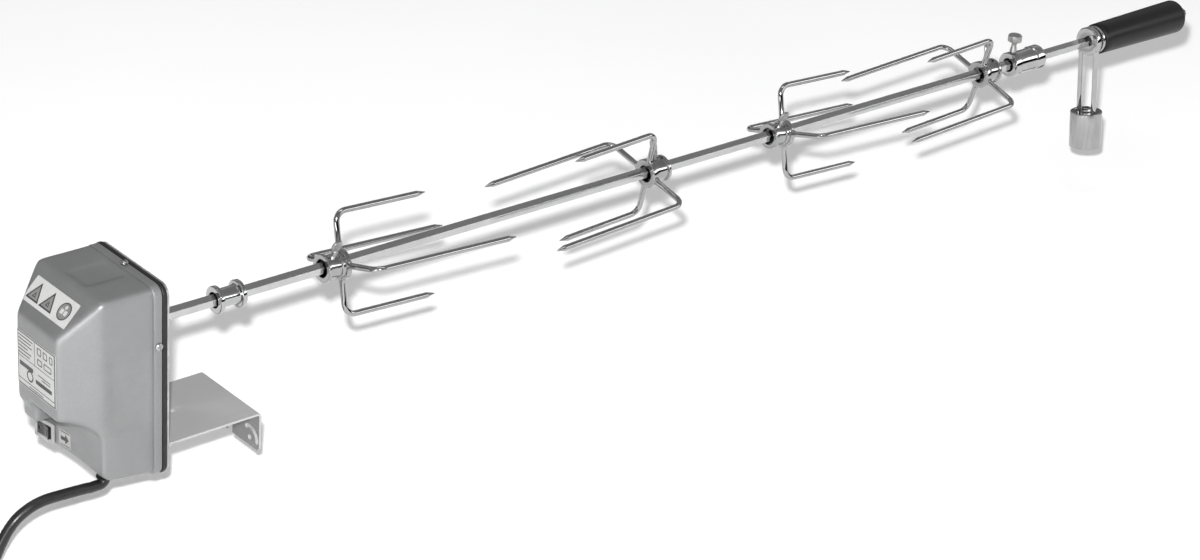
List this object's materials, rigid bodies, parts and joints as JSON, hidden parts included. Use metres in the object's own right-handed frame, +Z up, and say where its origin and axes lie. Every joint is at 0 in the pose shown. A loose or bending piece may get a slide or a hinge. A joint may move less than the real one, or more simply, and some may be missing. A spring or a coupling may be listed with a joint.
{
  "type": "rotisserie spit roaster",
  "caption": "Motor unit in a tapered housing with a right-angle bracket, a long hexagonal spit with sliding forks, bushes, a counterweight and a handle.",
  "frame": {"origin": "on the outer face of the bracket's flange, where it rests on the wall of the grill, on the spit's centre plane", "axes": "+X along the spit from the motor to the handle, +Y to the far side, +Z up"},
  "size_m": [1.3774, 0.0993, 0.2132],
  "materials": {
    "cover_grey": "satin",
    "black_rubber": "matte",
    "zinc_sheet": "satin",
    "bracket_steel": "satin",
    "plain_steel": "satin",
    "bright_chrome": "polished",
    "satin_chrome": "satin",
    "cast_knob": "satin",
    "bearing_bronze": "satin",
    "pinion_brass": "satin",
    "gear_nylon": "matte",
    "switch_black": "gloss",
    "grip_black": "satin",
    "label_grey": "satin"
  },
  "bodies": {
    "motor_unit": {"front_cover": "cover_grey", "cover_gasket": "black_rubber", "back_plate": "zinc_sheet", "cover_screw_top": "plain_steel", "cover_screw_near": "plain_steel", "cover_screw_far": "plain_steel", "cover_screw_bottom": "plain_steel", "motor_can": "zinc_sheet", "gearbox_plate": "zinc_sheet", "gearbox_post_1": "plain_steel", "gearbox_post_2": "plain_steel", "gearbox_post_3": "plain_steel", "gearbox_post_4": "plain_steel", "output_bearing": "bearing_bronze", "inner_bearing": "bearing_bronze", "axle_1": "plain_steel", "axle_2": "plain_steel", "switch_frame": "switch_black", "cord_gland": "black_rubber", "power_cord": "black_rubber", "warning_label": "label_grey", "rating_label": "label_grey", "switch_label": "label_grey", "bracket": "bracket_steel", "bracket_rivet_1": "plain_steel", "bracket_rivet_2": "plain_steel"},
    "output": {"drive_socket": "plain_steel", "output_gear": "plain_steel"},
    "idler_2": {"gear_2": "gear_nylon"},
    "idler_1": {"gear_1": "gear_nylon"},
    "pinion": {"motor_pinion": "pinion_brass"},
    "switch_rocker": {"rocker": "switch_black"},
    "spit": {"spit_rod": "bright_chrome"},
    "wall_bush": {"near_bush": "bright_chrome"},
    "meat_fork_1": {"fork_1": "bright_chrome"},
    "meat_fork_2": {"fork_2": "bright_chrome"},
    "meat_fork_3": {"fork_3": "bright_chrome"},
    "meat_fork_4": {"fork_4": "bright_chrome"},
    "fork_knob_1": {"fork_1_screw": "cast_knob"},
    "fork_knob_2": {"fork_2_screw": "cast_knob"},
    "fork_knob_3": {"fork_3_screw": "cast_knob"},
    "fork_knob_4": {"fork_4_screw": "cast_knob"},
    "end_bush": {"far_bush": "bright_chrome"},
    "end_bush_knob": {"far_bush_screw": "cast_knob"},
    "balance_yoke": {"counterweight_yoke": "bright_chrome"},
    "balance_weight": {"counterweight": "satin_chrome", "weight_bolt": "bright_chrome"},
    "handle": {"handle_ferrule": "bright_chrome", "handle_grip": "grip_black", "handle_nut": "bright_chrome"}
  },
  "joints": [
    {"name": "spit_drive", "type": "hinge", "parent": "motor_unit", "child": "output", "pos_m": [0, 0, 0.094], "axis": [1, 0, 0], "continuous": true},
    {"name": "idler_2_spin", "type": "hinge", "parent": "motor_unit", "child": "idler_2", "pos_m": [0, 0, 0.057], "axis": [1, 0, 0], "continuous": true},
    {"name": "idler_1_spin", "type": "hinge", "parent": "motor_unit", "child": "idler_1", "pos_m": [0, 0, 0.033], "axis": [1, 0, 0], "continuous": true},
    {"name": "pinion_spin", "type": "hinge", "parent": "motor_unit", "child": "pinion", "pos_m": [0, -0.012, 0.05378], "axis": [1, 0, 0], "continuous": true},
    {"name": "rocker_switch", "type": "hinge", "parent": "motor_unit", "child": "switch_rocker", "pos_m": [-0.14936, 0.0265, 0.0106], "axis": [0, 0, 1], "range_deg": [0, 16]},
    {"name": "spit_pull", "type": "slide", "parent": "output", "child": "spit", "axis": [1, 0, 0], "range_m": [0, 0.028]},
    {"name": "wall_bush_slide", "type": "slide", "parent": "spit", "child": "wall_bush", "axis": [1, 0, 0], "range_m": [-0.05, 0.015]},
    {"name": "fork_1_slide", "type": "slide", "parent": "spit", "child": "meat_fork_1", "axis": [1, 0, 0], "range_m": [-0.055, 0.035]},
    {"name": "fork_1_knob_turn", "type": "hinge", "parent": "meat_fork_1", "child": "fork_knob_1", "pos_m": [0.08901, 0, 0.09337], "axis": [0.0492, -0.342, 0.9384], "range_deg": [0, 360]},
    {"name": "fork_2_slide", "type": "slide", "parent": "spit", "child": "meat_fork_2", "axis": [1, 0, 0], "range_m": [-0.035, 0.06]},
    {"name": "fork_2_knob_turn", "type": "hinge", "parent": "meat_fork_2", "child": "fork_knob_2", "pos_m": [0.43149, 0, 0.09337], "axis": [-0.0508, 0.2419, 0.969], "range_deg": [0, 360]},
    {"name": "fork_3_slide", "type": "slide", "parent": "spit", "child": "meat_fork_3", "axis": [1, 0, 0], "range_m": [-0.06, 0.04]},
    {"name": "fork_3_knob_turn", "type": "hinge", "parent": "meat_fork_3", "child": "fork_knob_3", "pos_m": [0.57091, 0, 0.09337], "axis": [0.0485, -0.3746, 0.9259], "range_deg": [0, 360]},
    {"name": "fork_4_slide", "type": "slide", "parent": "spit", "child": "meat_fork_4", "axis": [1, 0, 0], "range_m": [-0.04, 0.01]},
    {"name": "fork_4_knob_turn", "type": "hinge", "parent": "meat_fork_4", "child": "fork_knob_4", "pos_m": [0.85049, 0, 0.09329], "axis": [-0.0444, 0.2079, 0.9771], "range_deg": [0, 360]},
    {"name": "end_bush_slide", "type": "slide", "parent": "spit", "child": "end_bush", "axis": [1, 0, 0], "range_m": [-0.005, 0.04]},
    {"name": "end_bush_knob_turn", "type": "hinge", "parent": "end_bush", "child": "end_bush_knob", "pos_m": [0.8834, 0, 0.094], "axis": [0, 0, 1], "range_deg": [0, 360]},
    {"name": "balance_turn", "type": "hinge", "parent": "spit", "child": "balance_yoke", "pos_m": [0.9968, 0, 0.094], "axis": [1, 0, 0], "continuous": true},
    {"name": "balance_weight_slide", "type": "slide", "parent": "balance_yoke", "child": "balance_weight", "axis": [0, 0.1392, 0.9903], "range_m": [0, 0.03]},
    {"name": "handle_turn", "type": "hinge", "parent": "spit", "child": "handle", "pos_m": [1.0068, 0, 0.094], "axis": [1, 0, 0], "continuous": true}
  ],
  "couplings": [
    {"joint": "idler_2_spin", "follows": "spit_drive", "ratio": -3},
    {"joint": "idler_1_spin", "follows": "spit_drive", "ratio": 9},
    {"joint": "pinion_spin", "follows": "spit_drive", "ratio": -27}
  ]
}
